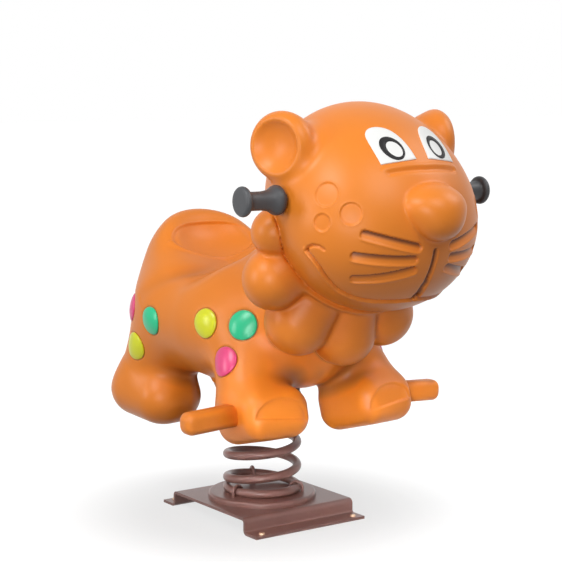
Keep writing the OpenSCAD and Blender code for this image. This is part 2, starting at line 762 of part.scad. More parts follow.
module head_shell() {
    color("#f08a3c")
    moulded() difference() {
        union() {
            head_skin();
            both_sides() ear_skin();
        }
        body_skin();
        difference() {
            head_skin(-wall, "skull", head_hollow_cell_share);
            at_neck(0) cylinder(r = neck_pad_radius, h = neck_pad_outer, $fn = round_sides);
            body_skin(wall, body_hollow_cell_share);
        }
        neck_cuts();
        translate([0, bar_place.y, bar_place.z]) rotate([0, 90, 0])
            cylinder(d = bar_diameter + 2 * fit_gap, h = 2 * head_size, center = true, $fn = round_sides);
    }
}

// Handlebar and grips
module bar_axis(x) {
    translate([x, bar_place.y, bar_place.z]) rotate([0, -90, 0]) children();
}

module handlebar() {
    color("dimgray")
    bar_axis(bar_end) difference() {
        cylinder(d = bar_diameter, h = 2 * bar_end);
        translate([0, 0, -overrun]) cylinder(d = bar_diameter - 2 * bar_wall, h = 2 * bar_end + 2 * overrun);
    }
}

// The cheek where the grip's inner flange ends, found along X beside the tube
function cheek(y, z, low, high, n) =
    let (x = (low + high) / 2)
    n == 0 ? x : head_field([x, y, z]) > 0 ? cheek(y, z, x, high, n - 1) : cheek(y, z, low, x, n - 1);
cheek_x = min([for (a = [0:30:330])
    cheek(bar_place.y + flange_diameter / 2 * cos(a), bar_place.z + flange_diameter / 2 * sin(a),
        -head_size, 0, 24)]);
grip_root = cheek_x - grip_gap_share * head_size;
grip_length = grip_span / 2 + grip_root;

module flange(thickness) {
    radius = flange_diameter / 2;
    square([radius - flange_round, thickness]);
    translate([0, flange_round]) square([radius, thickness - 2 * flange_round]);
    for (z = [flange_round, thickness - flange_round])
        translate([radius - flange_round, z]) circle(flange_round);
}

module grip() {
    bore = bar_diameter / 2 + fit_gap;
    color("#4b4b4e")
    bar_axis(grip_root) difference() {
        rotate_extrude() {
            square([grip_diameter / 2, grip_length - flange_round]);
            flange(inner_flange);
            translate([0, grip_length - outer_flange]) flange(outer_flange);
        }
        translate([0, 0, -overrun]) cylinder(r = bore, h = bar_end + grip_root + fit_gap + overrun);
    }
}

module grip_right() {
    grip();
}

module grip_left() {
    mirror([1, 0, 0]) grip();
}

// Spots: discs of an even thickness that follow the skin
module spot(s) {
    y = s[0] * body_length;
    z = belly_z + s[1] * body_height;
    at = [reach(y, z, -body_width, 0, 24), y, z];
    along(at, slope("body", at, wall))
        cylinder(d = spot_diameter, h = spot_depth_share * spot_diameter, center = true, $fn = round_sides);
}

module spots(shares) {
    moulded() difference() {
        intersection() {
            body_skin(spot_thickness);
            both_sides() for (s = shares) spot(s);
        }
        body_skin();
    }
}

module spots_yellow() {
    color("#e6e645") spots(yellow_shares);
}

module spots_green() {
    color("#3cc88f") spots(green_shares);
}

module spots_pink() {
    color("#e8559a") spots(pink_shares);
}

// Eyes: thin panels on the forehead with a dark ring on each. A point of the eye's plane moves along
// its normal to where the head's distance equals grow.
eye_up = [0, cos(eye_lean), sin(eye_lean)];
eye_out = [0, -sin(eye_lean), cos(eye_lean)];
eye_reach = head_size / 4;
function eye_hit(side, p, low, high, n, grow) =
    let (t = (low + high) / 2)
    n == 0 ? p + t * eye_out
    : head_field(p + t * eye_out) < grow ? eye_hit(side, p, t, high, n - 1, grow)
    : eye_hit(side, p, low, t, n - 1, grow);
function eye_point(side, s, grow) =
    let (c = head_centre + head_size * [side * (eye_shares.x + s.x), eye_shares.y, eye_shares.z])
    eye_hit(side, c + head_size * s.y * eye_up, -eye_reach, eye_reach, 20, grow);
function eye_row(side, outline, scale, grow) = [for (s = outline) eye_point(side, scale * s, grow)];

// Triangles between two rows of n points that start at a and b, turned for the side
function band(a, b, n, side) = [for (i = [0:n - 1]) let (j = (i + 1) % n)
    each side < 0 ? [[a + i, a + j, b + j], [a + i, b + j, b + i]]
    : [[a + i, b + j, a + j], [a + i, b + i, b + j]]];
function fan(a, top, n, side) = [for (i = [0:n - 1]) let (j = (i + 1) % n)
    side < 0 ? [a + i, a + j, top] : [a + j, a + i, top]];

module eye_panel(side) {
    n = len(eye_outline_shares);
    rows = len(eye_rows_shares);
    low = eye_gap;
    high = eye_gap + eye_thickness;
    upper = [for (s = eye_rows_shares) each eye_row(side, eye_outline_shares, s, high)];
    lower = [for (s = eye_rows_shares) each eye_row(side, eye_outline_shares, s, low)];
    middles = [eye_point(side, [0, 0], high), eye_point(side, [0, 0], low)];
    under = rows * n;
    last = (rows - 1) * n;
    faces = concat(
        [for (r = [0:rows - 2]) each band(r * n, (r + 1) * n, n, side)],
        [for (r = [0:rows - 2]) each band(under + (r + 1) * n, under + r * n, n, side)],
        fan(last, 2 * under, n, side),
        fan(under + last, 2 * under + 1, n, -side),
        band(under, 0, n, side));
    polyhedron(concat(upper, lower, middles), faces);
}

module eye_panels() {
    color("white") {
        eye_panel(-1);
        eye_panel(1);
    }
}

function iris_oval(half, shift) = [for (i = [0:iris_points - 1])
    let (a = 360 * i / iris_points, v = [half.x * cos(a), half.y * sin(a)])
    [v.x * cos(iris_tilt) + v.y * sin(iris_tilt), v.y * cos(iris_tilt) - v.x * sin(iris_tilt)] + shift];

module eye_ring(side) {
    outer = iris_oval(iris_shares, iris_shift_shares);
    inner = iris_oval(pupil_shares, pupil_shift_shares);
    low = 2 * eye_gap + eye_thickness;
    high = low + eye_thickness;
    n = iris_points;
    points = concat(eye_row(side, outer, 1, high), eye_row(side, inner, 1, high),
        eye_row(side, inner, 1, low), eye_row(side, outer, 1, low));
    polyhedron(points, concat(band(0, n, n, side), band(n, 2 * n, n, side),
        band(2 * n, 3 * n, n, side), band(3 * n, 0, n, side)));
}

module eye_rings() {
    color("#202022") {
        eye_ring(-1);
        eye_ring(1);
    }
}

base_plate();
spring_seat();
lower_clips();
lower_clip_nuts();
spring();
top_plate();
upper_clips();
upper_clip_nuts();
body_bolts();
body_washers();
body_inserts();
body_shell();
head_shell();
neck_bolts();
neck_washers();
neck_nuts();
handlebar();
grip_left();
grip_right();
peg_left();
peg_right();
peg_studs();
spots_yellow();
spots_green();
spots_pink();
eye_panels();
eye_rings();
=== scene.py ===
# %% [markdown]
# # Spring rider: a moulded lion on a coil spring
# The imported CAD model is the frame: every piece below sits where the CAD says, in metres, with Z up and
# the lion facing -Y. The bodies are base, coil and rider. We dress the frame with finely meshed skins,
# a smooth spring and procedural finishes.

import json
import math

import bmesh
import bpy
import numpy as np
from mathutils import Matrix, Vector


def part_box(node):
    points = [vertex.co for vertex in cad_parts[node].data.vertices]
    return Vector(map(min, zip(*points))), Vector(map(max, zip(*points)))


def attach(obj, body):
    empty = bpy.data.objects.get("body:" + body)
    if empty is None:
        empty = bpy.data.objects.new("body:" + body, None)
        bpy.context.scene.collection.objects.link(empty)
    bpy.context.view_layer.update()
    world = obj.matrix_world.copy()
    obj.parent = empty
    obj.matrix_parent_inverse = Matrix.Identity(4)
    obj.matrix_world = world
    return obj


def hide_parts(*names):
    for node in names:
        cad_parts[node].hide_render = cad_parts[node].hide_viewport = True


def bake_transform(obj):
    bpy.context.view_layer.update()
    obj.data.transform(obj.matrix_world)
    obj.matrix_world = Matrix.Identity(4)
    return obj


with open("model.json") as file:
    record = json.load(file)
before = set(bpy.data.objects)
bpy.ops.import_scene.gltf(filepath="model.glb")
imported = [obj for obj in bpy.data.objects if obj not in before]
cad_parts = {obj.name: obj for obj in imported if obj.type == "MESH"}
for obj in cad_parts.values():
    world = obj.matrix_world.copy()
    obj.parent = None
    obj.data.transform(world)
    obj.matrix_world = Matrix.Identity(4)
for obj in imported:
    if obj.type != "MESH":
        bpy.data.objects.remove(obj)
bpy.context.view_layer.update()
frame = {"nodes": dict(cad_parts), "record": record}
scene = bpy.context.scene
print("frame", sorted(frame["nodes"]))

# %% [markdown]
# ## Camera
# A long lens a few metres away gives the photograph's flat perspective. Azimuth, elevation, distance and
# lens were fitted to the base plate, the grips and the foot pegs.

# %% Camera
CAMERA_TURN, CAMERA_LIFT = math.radians(-35.325), math.radians(6.991)
CAMERA_PLACE, CAMERA_LENS, SENSOR_WIDTH, VIEW_END = (-1.6230, -2.3509, 0.7815), 100.5, 36, 60
level = math.cos(CAMERA_LIFT)
back = Vector((math.sin(CAMERA_TURN) * level, -math.cos(CAMERA_TURN) * level, math.sin(CAMERA_LIFT)))
camera = bpy.data.objects.new("camera", bpy.data.cameras.new("camera"))
scene.collection.objects.link(camera)
camera.data.lens = CAMERA_LENS
camera.data.sensor_width = SENSOR_WIDTH
camera.location = CAMERA_PLACE
camera.rotation_mode = "QUATERNION"
camera.rotation_quaternion = (-back).to_track_quat("-Z", "Y")
camera.data.clip_end = VIEW_END
scene.camera = camera
scene.view_settings.view_transform = "Standard"
print("camera", tuple(round(v, 3) for v in camera.location))

# %% [markdown]
# ## Nodes written as expressions
# One small class wraps a socket, so that shader and geometry maths read like Python. Numbers stay in
# Python until they meet a socket. Any other node comes from one method, which sets a node's properties
# first and its sockets after that.

# %% Expression class and node method
class Value:
    def __init__(self, tree, socket):
        self.tree, self.socket = tree, socket

    def math(self, operation, *others):
        return self.tree.node(self.tree.maths, {"operation": operation}, dict(enumerate((self,) + others)))

    def __add__(self, o): return self.math("ADD", o)
    def __radd__(self, o): return self.math("ADD", o)
    def __sub__(self, o): return self.math("SUBTRACT", o)
    def __rsub__(self, o): return self.math("MULTIPLY_ADD", -1.0, o)
    def __mul__(self, o): return self.math("MULTIPLY", o)
    def __rmul__(self, o): return self.math("MULTIPLY", o)


class Tree:
    maths = "ShaderNodeMath"

    def __init__(self, tree):
        self.tree = tree

    def node(self, kind, settings=None, inputs=None, out=0):
        made = self.tree.nodes.new(kind)
        for name, value in (settings or {}).items():
            setattr(made, name, value)
        for name, value in (inputs or {}).items():
            if isinstance(value, Value):
                self.tree.links.new(value.socket, made.inputs[name])
            else:
                made.inputs[name].default_value = value
        return Value(self, made.outputs[out]) if made.outputs else None


print("expressions ready")

# %% [markdown]
# ## Finishes
# Every finish is procedural and reads Object coordinates, so its grain has a real scale. A rotomoulded
# skin has a faint orange peel and slight shifts of tone, and painted shade darkens its grooves and
# sheltered corners, which the skin's own groove attribute marks. Powder coat has finer peel and paler worn
# specks, rubber is dull with a fine grain, and the spots are glossy caps.

# %% Finish helper
CLOUDS = {"Scale": 9.0, "Detail": 4.0, "Roughness": 0.6}
SPECKS = {"Scale": 46.0, "Detail": 6.0, "Roughness": 0.7}
SPECK_RANGE, SPECK_SHARE = {"From Min": 0.62, "From Max": 0.72}, 0.5
PEEL_DETAIL, PEEL_HEIGHT, COAT_ROUGHNESS = 3.0, 0.001, 0.12
ROUGH_START, ROUGH_SHIFT = -0.05, 0.06


def mixed(t, share, one, other):
    return t.node("ShaderNodeMix", {"data_type": "RGBA"}, {"Factor": share, 6: one, 7: other}, out=2)


def finish(name, colour, rough, peel, peel_size, tone=0.06, coat=0.0, metallic=0.0, wear=None, sheen=0.5,
        painted_shade_colour=None):
    made = bpy.data.materials.new(name)
    made.use_nodes = True
    made.node_tree.nodes.clear()
    t = Tree(made.node_tree)
    place = t.node("ShaderNodeTexCoord", out="Object")
    clouds = t.node("ShaderNodeTexNoise", {}, {"Vector": place, **CLOUDS})
    grain = t.node("ShaderNodeTexNoise", {},
        {"Vector": place, "Scale": 1 / peel_size, "Detail": PEEL_DETAIL})
    light, dark = [tuple(min(c * (1 + s * tone), 1) for c in colour) for s in (1, -1)]
    base = mixed(t, clouds, (*dark, 1), (*light, 1))
    if wear:
        specks = t.node("ShaderNodeTexNoise", {}, {"Vector": place, **SPECKS})
        edge = t.node("ShaderNodeMapRange", {}, {"Value": specks, **SPECK_RANGE})
        base = mixed(t, edge * SPECK_SHARE, base, (*wear, 1))
    # painted shade: where the groove attribute is high, the base colour turns towards the painted-shade
    # colour
    if painted_shade_colour:
        groove = t.node("ShaderNodeAttribute", {"attribute_name": "groove"}, out="Fac")
        base = mixed(t, groove, base, (*painted_shade_colour, 1))
    bump = t.node("ShaderNodeBump", {}, {"Strength": peel, "Distance": PEEL_HEIGHT, "Height": grain})
    shader = t.node("ShaderNodeBsdfPrincipled", {}, {"Base Color": base,
        "Roughness": rough + ROUGH_START + grain * ROUGH_SHIFT + clouds * ROUGH_SHIFT, "Normal": bump,
        "Metallic": metallic, "Coat Weight": coat, "Coat Roughness": COAT_ROUGHNESS,
        "Specular IOR Level": sheen})
    t.node("ShaderNodeOutputMaterial", {}, {"Surface": shader})
    return made


def srgb(r, g, b):
    return tuple((c / 255 / 12.92) if c <= 10 else ((c / 255 + 0.055) / 1.055) ** 2.4 for c in (r, g, b))


FINISH = {
    # the brown below is painted shade for the orange skin's grooves, troughs and sheltered corners
    "orange_plastic": finish("moulded orange skin", (0.86, 0.245, 0.022), 0.38, 0.05, 0.0016, tone=0.05,
        sheen=0.4, painted_shade_colour=srgb(100, 60, 36)),
    "brown_painted_steel": finish("brown powder coat", srgb(132, 93, 85), 0.32, 0.12, 0.0011, tone=0.12,
        sheen=0.3, coat=0.25, wear=srgb(150, 112, 102)),
    "grey_painted_steel": finish("grey powder coat", srgb(84, 84, 88), 0.4, 0.1, 0.001),
    "zinc_plated_steel": finish("zinc plate", srgb(190, 192, 196), 0.34, 0.06, 0.0008, tone=0.1,
        metallic=1.0),
    "insert_brass": finish("insert brass", srgb(226, 190, 160), 0.35, 0.05, 0.0008, metallic=1.0),
    "grip_rubber": finish("grip rubber", srgb(66, 67, 70), 0.44, 0.12, 0.0012, tone=0.1),
    "yellow_plastic": finish("yellow cap", srgb(228, 232, 30), 0.28, 0.02, 0.002, tone=0.02),
    "green_plastic": finish("green cap", srgb(34, 208, 148), 0.28, 0.02, 0.002, tone=0.02),
    "pink_plastic": finish("pink cap", srgb(238, 74, 134), 0.28, 0.02, 0.002, tone=0.02),
    "white_plastic": finish("white eye panel", srgb(246, 246, 244), 0.35, 0.02, 0.002, tone=0.01),
    "black_plastic": finish("dark eye ring", srgb(24, 22, 24), 0.5, 0.03, 0.001, tone=0.1, sheen=0.25),
}
slot_of = {s["node"]: s["material_slot"] for s in frame["record"]["subparts"]}
for name, node in frame["nodes"].items():
    node.data.materials.clear()
    node.data.materials.append(FINISH[slot_of[name]])
print("finishes", len(FINISH))

# %% [markdown]
# ## Forms as distances
# A rotomoulded toy has no hard lines: swelling shapes run into each other. Distance fields suit that.
# Each form is a formula that is negative inside, and a smooth minimum joins two of them with a fillet.
# The numbers are millimetres in the CAD frame, and they are the same forms that the CAD solids have.

# %% Distance helpers
def turned(u, v, degrees):
    c, s = math.cos(math.radians(degrees)), math.sin(math.radians(degrees))
    return u * c + v * s, v * c - u * s


def local(p, centre, turn=0.0, tilt=0.0):
    x, y, z = (p - np.float32(centre)).T
    x, y = turned(x, y, turn)
    return (x, *turned(y, z, tilt))


def oval(p, centre, radii, turn=0.0, tilt=0.0):
    q = np.stack(local(p, centre, turn, tilt), 1) / np.float32(radii)
    k = np.sqrt((q * q).sum(1))
    q = q / np.float32(radii)
    return k * (k - 1) / np.maximum(np.sqrt((q * q).sum(1)), 1e-9)


def limb(p, a, b, ra, rb):
    a, b = np.float32(a), np.float32(b)
    t = np.clip((p - a) @ (b - a) / ((b - a) @ (b - a)), 0, 1)
    q = p - a - t[:, None] * (b - a)
    return np.sqrt((q * q).sum(1)) - ra - (rb - ra) * t


def blend(a, b, k):
    h = np.maximum(k - np.abs(a - b), 0) / k
    return np.minimum(a, b) - h * h * k / 4


def carve(a, b, k):
    return -blend(-a, b, k)


def near_side(p):
    return np.stack([-np.abs(p[:, 0]), p[:, 1], p[:, 2]], 1)


def rounded(u, v):
    return np.sqrt(np.maximum(u, 0) ** 2 + np.maximum(v, 0) ** 2) + np.minimum(np.maximum(u, v), 0)


def foot(p, place, half, corner, edge):
    u, v, w = local(p, *place)
    plan = rounded(np.abs(u) - half[0] + corner, np.abs(v) - half[1] + corner) - corner
    return rounded(plan + edge, np.abs(w) - half[2] + edge) - edge


print("distance helpers ready")

# %% [markdown]
# ### Body
# The trunk is six ovals. A hollow across the back makes the saddle, and a shallow oval dish on the
# slope behind it is the seat. Legs are tapered limbs that end in rounded boxes for feet.

# %% Body form
RUMP, HUMP = ((0, 165, 408.9), (138, 125, 131.7)), ((0, 195.5, 453.9), (108.3, 77, 108))
CHEST, SHOULDER = ((0, -104.5, 378), (96.9, 130, 128)), ((0, -140, 425), (113.4, 115, 122))
BARREL, FLANK = ((0, 48.5, 362.4), (175.2, 141, 120.3)), ((0, -25, 375.3), (159.9, 85, 114))
SADDLE_MIDDLE, SADDLE_RADIUS, SADDLE_RAMP = (54, 553), 112, ((0, 52, 620), (190, 178, 160))
FRONT_LEG = ((-87.3, -78, 365), (-128.1, -144, 255), 59.1, 55.2)
REAR_LEG = ((-91.5, 139, 370), (-114.3, 203.5, 255), 80.4, 57.3)
FRONT_FOOT, FRONT_FOOT_SIZE = ((-112.2, -164.2, 220.8), -6.6, -15.6), ((62.2, 73.8, 42.9), 32.3, 34.3)
REAR_FOOT, REAR_FOOT_SIZE = ((-111, 196.1, 207.4), 10, 7.4), ((68, 89.5, 51.2), 59.4, 52)
BOSS_RADIUS, BOSS_MIDDLE, BOSS_HALF, BOSS_EDGE = 88.8, 268, 18, 4
PLATE_RADIUS, PLATE_TOP = 86.2, 252
SEAT_DISH = ((0, 141, 505), (80, 58, 32), 0, 31)
WIDE, MIDDLING, RAMP_BLEND, NARROW, BOSS_BLEND, DISH_BLEND, CRISP = 60, 40, 36, 30, 8, 6, 2


def body_form(p):
    q = near_side(p)
    rear = blend(oval(p, *RUMP), oval(p, *HUMP), MIDDLING)
    front = blend(oval(p, *CHEST), oval(p, *SHOULDER), MIDDLING)
    d = blend(blend(rear, front, WIDE), oval(p, *BARREL), WIDE)
    d = blend(d, oval(p, *FLANK), WIDE)
    scoop = np.sqrt((p[:, 1] - SADDLE_MIDDLE[0]) ** 2 + (p[:, 2] - SADDLE_MIDDLE[1]) ** 2) - SADDLE_RADIUS
    d = carve(d, blend(scoop, oval(p, *SADDLE_RAMP), RAMP_BLEND), NARROW)
    for leg in (FRONT_LEG, REAR_LEG):
        d = blend(d, limb(q, *leg), WIDE)
    for place, size in ((FRONT_FOOT, FRONT_FOOT_SIZE), (REAR_FOOT, REAR_FOOT_SIZE)):
        d = blend(d, foot(q, place, *size), NARROW)
    axis = np.sqrt(p[:, 0] ** 2 + p[:, 1] ** 2)
    boss = rounded(axis - BOSS_RADIUS, np.abs(p[:, 2] - BOSS_MIDDLE) - BOSS_HALF) - BOSS_EDGE
    d = carve(blend(d, boss, BOSS_BLEND), np.maximum(axis - PLATE_RADIUS, p[:, 2] - PLATE_TOP), CRISP)
    return carve(d, oval(p, *SEAT_DISH), DISH_BLEND)


print("body form at the origin of the belly", body_form(np.float32([[0, 0, 300]])))

# %% [markdown]
# ### Head, ears and mane
# Skull and muzzle are two ovals, and so is the nose with its lower tip. Each ear is a flared stem with a
# dished outer face. Seven puffy lobes make the mane, from ear to ear under the chin, and a thin collar
# with a rounded lip joins them round the jaw. The collar sinks into the head towards its upper end.

# %% Head form
SKULL, MUZZLE = ((0, -284.1, 614.8), (158.4, 146.7, 145.9)), ((0, -346.2, 559.3), (169.2, 141.8, 143))
NOSE, NOSE_TIP = ((0, -466, 597), (58, 56, 38)), ((0, -484, 572), (34, 38, 28))
EAR, EAR_DISH = ((-163, -289.1, 689.7), (26.2, 57.5, 55.2), 18.6), ((-193, -299, 690), (30, 52, 49), 18.6)
EAR_STEM = ((-110, -292, 668), (-142.2, -289.4, 689.7), 48, 46.1)
NECK = ((0, -204, 466), (0, -270, 520), 96, 115)
PETALS = [((0, -244, 366), (0, -262, 424), 56, 50), ((-88, -236, 393), (-60, -258, 446), 58, 50),
    ((-150, -250, 470), (-112, -262, 492), 52, 48), ((-152, -262, 548), (-120, -270, 554), 42, 40)]
COLLAR_LIP, COLLAR_SLOPE, COLLAR_DEPTH, COLLAR_EDGE = (-232, 600), 0.5, 10, 5
COLLAR_TOP, COLLAR_FADE = (530, 600), 24
MUZZLE_BLEND, TIP_BLEND, NOSE_BLEND, STEM_BLEND, EAR_BLEND = 65.6, 36, 3, 25, 20
PETAL_BLEND, JAW_GAP, JAW_BLEND, COLLAR_BLEND = 8, 2, 3, 12


def skull_form(p):
    return blend(oval(p, *SKULL), oval(p, *MUZZLE), MUZZLE_BLEND)


def head_form(p):
    q, y, z = near_side(p), p[:, 1], p[:, 2]
    skull = skull_form(p)
    face = blend(skull, blend(oval(p, *NOSE), oval(p, *NOSE_TIP), TIP_BLEND), NOSE_BLEND)
    ear = carve(blend(oval(q, *EAR), limb(q, *EAR_STEM), STEM_BLEND), oval(q, *EAR_DISH), DISH_BLEND)
    mane = limb(p, *NECK)
    for petal in PETALS:
        mane = blend(mane, limb(q, *petal), PETAL_BLEND)
    lip = (COLLAR_LIP[0] - y + COLLAR_SLOPE * (z - COLLAR_LIP[1])) / math.hypot(1, COLLAR_SLOPE)
    rise = np.clip((z - COLLAR_TOP[0]) / (COLLAR_TOP[1] - COLLAR_TOP[0]), 0, 1)
    depth = COLLAR_DEPTH - COLLAR_FADE * rise
    collar = rounded(skull - depth + COLLAR_EDGE, lip + COLLAR_EDGE) - COLLAR_EDGE
    mane = blend(carve(mane, skull - JAW_GAP, JAW_BLEND), collar, COLLAR_BLEND)
    return blend(blend(face, ear, EAR_BLEND), mane, CRISP)


print("head form at the head's middle", head_form(np.float32([[0, -300, 616]])))

# %% [markdown]
# ## From form to mesh
# A surface net puts one point in each grid cell that the skin crosses, then joins the four cells round
# each crossed grid edge with a quad. It gives even, smooth quads. Two steps along the form's gradient
# then set each point exactly on the skin.

# %% Surface net
CORNERS = np.array([[c & 1, c >> 1 & 1, c >> 2] for c in range(8)])
EDGES = [(a, a | bit) for bit in (1, 2, 4) for a in range(8) if not a & bit]


def gradient(p, form, e=0.4):
    steps = np.float32(np.eye(3) * e)
    return np.stack([(form(p + step) - form(p - step)) / (2 * e) for step in steps], 1)


def settle(p, form, level=0.0, steps=2):
    for _ in range(steps):
        g = gradient(p, form)
        p = p - ((form(p) - level) / np.maximum((g * g).sum(1), 0.3))[:, None] * g
    return p


def surface_net(form, low, high, cell):
    low = np.float32(low)
    n = np.ceil((np.float32(high) - low) / cell).astype(int) + 1
    ys, zs = np.meshgrid(np.arange(n[1]), np.arange(n[2]), indexing="ij")
    slab = np.stack([np.zeros(ys.size), ys.ravel(), zs.ravel()], 1)
    slabs = [form(np.float32(low + cell * (slab + [i, 0, 0]))) for i in range(n[0])]
    values = np.stack([values.reshape(n[1], n[2]) for values in slabs])
    inside = values < 0
    count = sum(inside[x:n[0] - 1 + x, y:n[1] - 1 + y, z:n[2] - 1 + z].astype(int) for x, y, z in CORNERS)
    cells = np.argwhere((count > 0) & (count < 8))
    number = np.full(n, -1)
    number[tuple(cells.T)] = np.arange(len(cells))
    at = np.stack([values[tuple((cells + c).T)] for c in CORNERS], 1)
    total, hits = np.zeros((len(cells), 3)), np.zeros(len(cells))
    for a, b in EDGES:
        cut = (at[:, a] < 0) != (at[:, b] < 0)
        share = np.where(cut, at[:, a] / np.where(cut, at[:, a] - at[:, b], 1), 0)
        total += cut[:, None] * (CORNERS[a] + share[:, None] * (CORNERS[b] - CORNERS[a]))
        hits += cut
    points = np.float32(low + cell * (cells + total / hits[:, None]))
    quads = []
    for axis in range(3):
        step, u, v = np.roll(np.eye(3, dtype=int), -axis, 0)
        ahead = np.roll(inside, -1, axis)
        for outward in (True, False):
            e = np.argwhere((inside & ~ahead) if outward else (~inside & ahead))
            e = e[(e[:, axis] < n[axis] - 1) & (e > 0).all(1)] if len(e) else e
            ring = [number[tuple((e + o).T)] for o in (-u - v, -v, 0 * u, -u)]
            quads.append(np.stack(ring if outward else ring[::-1], 1))
    return settle(points, form), np.concatenate(quads)


print("net ready")

# %% [markdown]
# ### Pieces
# A finished mesh becomes a piece: its place is in its mesh, in metres, and it gets a finish, the body that
# carries it and the CAD node that it replaces. Where a skin has fine lines, the net alone is too coarse,
# so we split its quads there once more and settle the new points on the form.

# %% Piece helper
def piece(name, points, faces, slot, body, replaces=(), groove=None):
    mesh = bpy.data.meshes.new(name)
    mesh.from_pydata((np.asarray(points, float) / 1000).tolist(), [], [list(map(int, f)) for f in faces])
    # the groove attribute carries painted shade per point, which the orange finish reads
    if groove is not None:
        mesh.attributes.new("groove", "FLOAT", "POINT").data.foreach_set("value", np.float32(groove))
    mesh.polygons.foreach_set("use_smooth", [True] * len(mesh.polygons))
    mesh.materials.append(FINISH[slot])
    made = bpy.data.objects.new(name, mesh)
    scene.collection.objects.link(made)
    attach(made, body)
    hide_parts(*replaces)
    print(name, len(mesh.vertices), "points", len(mesh.polygons), "faces")
    return made


def unit(v):
    return v / np.linalg.norm(v, axis=-1, keepdims=True)


def refined(points, quads, form, near):
    mesh = bpy.data.meshes.new("to refine")
    mesh.from_pydata(points.tolist(), [], quads.tolist())
    work = bmesh.new()
    work.from_mesh(mesh)
    bpy.data.meshes.remove(mesh)
    close = near(points)
    edges = [e for e in work.edges if close[e.verts[0].index] and close[e.verts[1].index]]
    bmesh.ops.subdivide_edges(work, edges=edges, cuts=1, use_grid_fill=True)
    work.verts.index_update()
    points = np.float32([v.co for v in work.verts])
    faces = [[v.index for v in f.verts] for f in work.faces]
    work.free()
    return settle(points, form), faces


print("piece helper ready")

# %% [markdown]
# ### Relief
# A press is a step with a soft edge, a bell is a groove or a rib, and a drop follows one direction down to
# the skin. The occlusion of a point tells how much other skin stands close over it; it sets painted shade.

# %% Relief helpers
OCCLUSION_REACH, OCCLUSION_START, OCCLUSION_GAIN = 18.0, 1.2, 1.6
LEAST_SLOPE = 0.2


def press(gap, soft):
    s = np.clip((soft - gap) / (2 * soft), 0, 1)
    return s * s * (3 - 2 * s)


def bell(d, width):
    return np.exp(-(d / width) ** 2)


def drop(p, out, form, steps=8):
    for _ in range(steps):
        slope = gradient(p, form) @ out
        slope = np.where(np.abs(slope) > LEAST_SLOPE, slope, LEAST_SLOPE)
        p = p - out * (form(p) / slope)[:, None]
    return p


# painted shade in corners: the more skin stands close over a point, the darker its base colour
def occlusion(p, normal):
    over = p + normal * OCCLUSION_REACH
    room = np.minimum(body_form(over), head_form(over)) / OCCLUSION_REACH
    return np.clip(OCCLUSION_START - OCCLUSION_GAIN * room, 0, 1)


print("relief helpers ready")

# %% [markdown]
# ## Body skin
# The toes are a shallow step with an arched top on the front of each front foot, the seat is an oval
# panel with a ridge below it and a trough at each side, and each spot lies in a fine groove. A mould
# presses such steps into the skin, so we do the same: points inside an outline move in along the skin's
# own normal. Grooves, troughs and sheltered corners get painted shade, which we store in an attribute.

# %% Spots, seat and toes
SPOTS = {"yellow": [(-65, 375), (170, 304)], "green": [(-137, 378), (100, 360)],
    "pink": [(-125, 316), (194, 374)]}
SPOT_RADIUS, SPOT_START, SPOT_OUT, SPOT_STEPS = 26, -170, np.float32([-1, 0, 0]), 12
SPOT_GROOVE, SPOT_GROOVE_AT, SPOT_GROOVE_WIDTH = 1.8, 0.8, 1.5
SEAT, SEAT_HALF, SEAT_REACH, SEAT_PRESS, SEAT_SOFT = ((0, 163, 496), 0, 42.7), (88, 43.5), 40, 2.6, 2.6
RIDGE_LOW, RIDGE_HIGH, RIDGE_AT, RIDGE_WIDTH = 2.6, 0.7, 4, 3.4
TROUGH_LINE, TROUGH_BEND, TROUGH_WIDTH, TROUGH_DEPTH = (110, -98), 0.0035, 17, 7.0
TROUGH_MIDDLE, TROUGH_LENGTH, TROUGH_REACH = 100, 60, 60
TOE_MIDDLE, TOE_HALF, TOE_SLOPE, TOE_FRONT, TOE_DEPTH, TOE_SOFT = (1, -12), (50, 36), 0.11, -20, 3.4, 1.3


def toe_gap(p):
    u, v, w = local(near_side(p), *FRONT_FOOT)
    across, up = (u - TOE_MIDDLE[0]) / TOE_HALF[0], (w - TOE_MIDDLE[1]) / TOE_HALF[1]
    arch = (np.sqrt(across ** 2 + up ** 2) - 1) * TOE_HALF[1]
    return np.maximum(np.maximum(arch, TOE_MIDDLE[1] - TOE_SLOPE * u - w), v - TOE_FRONT)


def seat_gap(p):
    u, v, w = local(p, *SEAT)
    edge = (np.sqrt((u / SEAT_HALF[0]) ** 2 + (v / SEAT_HALF[1]) ** 2) - 1) * SEAT_HALF[1]
    return np.maximum(edge, np.abs(w) - SEAT_REACH)


def spot_middle(y, z):
    return drop(np.float32([[SPOT_START, y, z]]), SPOT_OUT, body_form, SPOT_STEPS)[0]


def spot_gap(p):
    middles = [spot_middle(*place) for pair in SPOTS.values() for place in pair]
    return np.min([np.sqrt(((near_side(p) - m) ** 2).sum(1)) for m in middles], 0) - SPOT_RADIUS


def trough(p):
    u, v, w = local(p, *SEAT)
    side = np.abs(u)
    line = v - TROUGH_LINE[1] - TROUGH_BEND * (side - TROUGH_LINE[0]) ** 2
    return bell(line, TROUGH_WIDTH) * bell(side - TROUGH_MIDDLE, TROUGH_LENGTH) * (np.abs(w) < TROUGH_REACH)


print("spots on each side", sum(len(pair) for pair in SPOTS.values()))

# %% Body skin
STEP_NEAR, SPOT_NEAR = 9, 6
BODY_LOW, BODY_HIGH, BODY_CELL = (-216, -300, 130), (216, 330, 590), 3.7
# shares of painted shade from spot grooves and seat troughs, and the most painted shade on the body
SPOT_PAINTED_SHADE, TROUGH_PAINTED_SHADE, MOST_BODY_PAINTED_SHADE = 0.6, 0.3, 0.75


def spot_groove(p):
    return bell(spot_gap(p) - SPOT_GROOVE_AT, SPOT_GROOVE_WIDTH)


